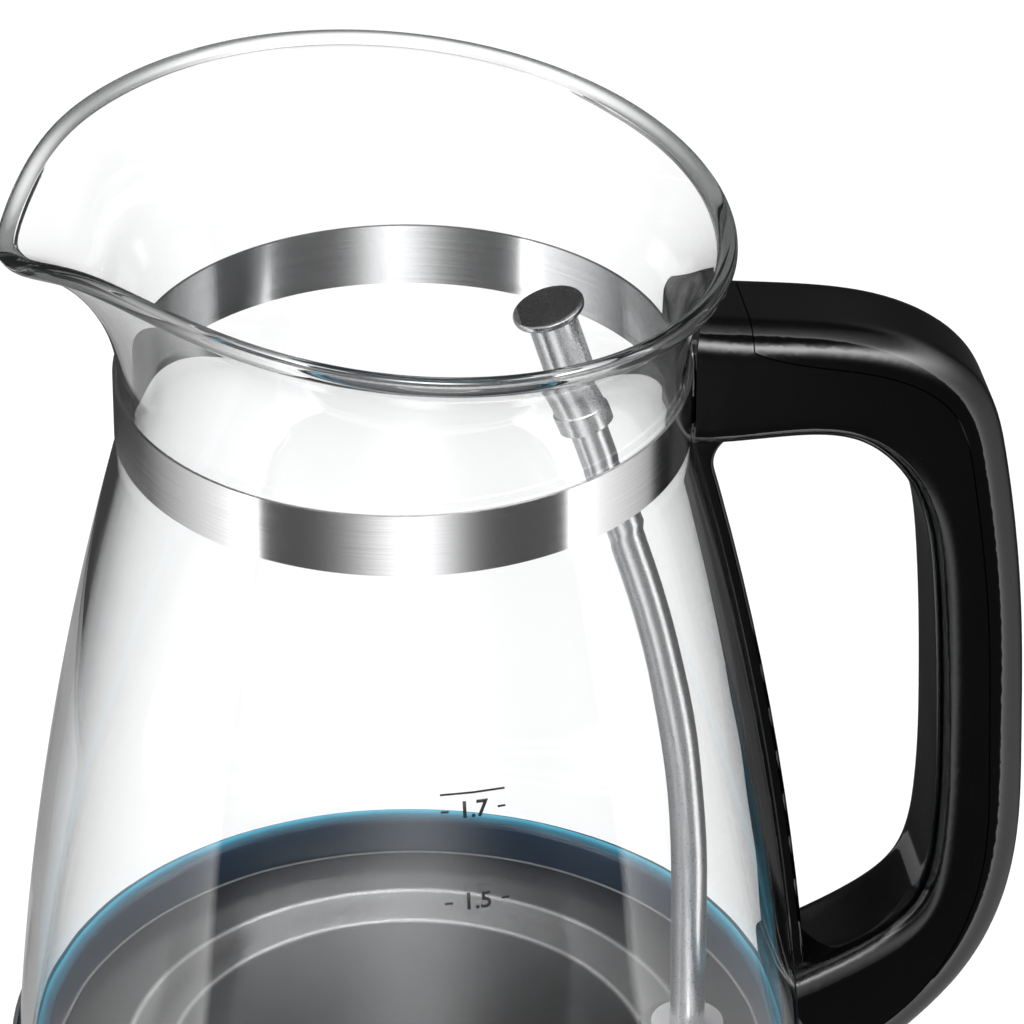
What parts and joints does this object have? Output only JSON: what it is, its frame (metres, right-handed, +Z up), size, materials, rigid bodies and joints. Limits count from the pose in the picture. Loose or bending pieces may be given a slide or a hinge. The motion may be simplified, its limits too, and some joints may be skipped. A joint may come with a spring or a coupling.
{
  "type": "electric kettle",
  "caption": "Cordless electric kettle: open clear glass jug with pouring lip, steel neck band, black D handle, steam tube, lit floor ring and a swivelling power base.",
  "frame": {"origin": "on the table, where the jug's axis meets it under the middle of the power base", "axes": "+Z up along the jug's axis, +X towards the handle, -X towards the pouring lip"},
  "size_m": [0.202, 0.16, 0.2515],
  "materials": {
    "clear_glass": "clear, fire-polished",
    "band_steel": "brushed round the neck",
    "floor_steel": "spun, with fine rings",
    "tube_steel": "satin",
    "gloss_black": "polished",
    "matte_black": "fine grain",
    "light_blue": "clear, lit from below",
    "silicone": "matt silicone",
    "foot_rubber": "matt",
    "aluminium": "cast",
    "sheath_steel": "annealed",
    "contact_brass": "bright",
    "bimetal": "rolled",
    "screw_steel": "zinc plated",
    "board": "lacquered board"
  },
  "bodies": {
    "power_base": {"base_shell": "gloss_black", "base_plate": "matte_black", "base_screws": "screw_steel", "base_feet": "foot_rubber", "base_socket": "matte_black", "base_contacts": "contact_brass"},
    "jug": {"glass_jug": "clear_glass", "neck_band": "band_steel", "band_clamp_screw": "screw_steel", "handle_frame": "gloss_black", "handle_cover": "gloss_black", "handle_screws": "screw_steel", "light_ring": "light_blue", "seal_ring": "silicone", "heating_plate": "floor_steel", "steam_tube": "tube_steel", "steam_cap": "tube_steel", "tube_grommet": "silicone", "heat_spreader": "aluminium", "heating_element": "sheath_steel", "element_terminals": "screw_steel", "chassis": "matte_black", "collar": "band_steel", "bottom_cover": "matte_black", "bottom_screws": "screw_steel", "control_body": "matte_black", "snap_discs": "bimetal", "plug_contacts": "contact_brass", "steam_switch": "matte_black", "steam_disc": "bimetal", "lever_pin": "screw_steel", "lamps": "light_blue", "lamp_boards": "board"},
    "switch": {"switch_lever": "gloss_black"}
  },
  "joints": [
    {"name": "jug_swivel", "type": "hinge", "parent": "power_base", "child": "jug", "pos_m": [0, 0, 0.018], "axis": [0, 0, 1], "continuous": true},
    {"name": "switch_rock", "type": "hinge", "parent": "jug", "child": "switch", "pos_m": [0.07, 0, 0.031], "axis": [0, 1, 0], "range_deg": [0, 12]}
  ]
}
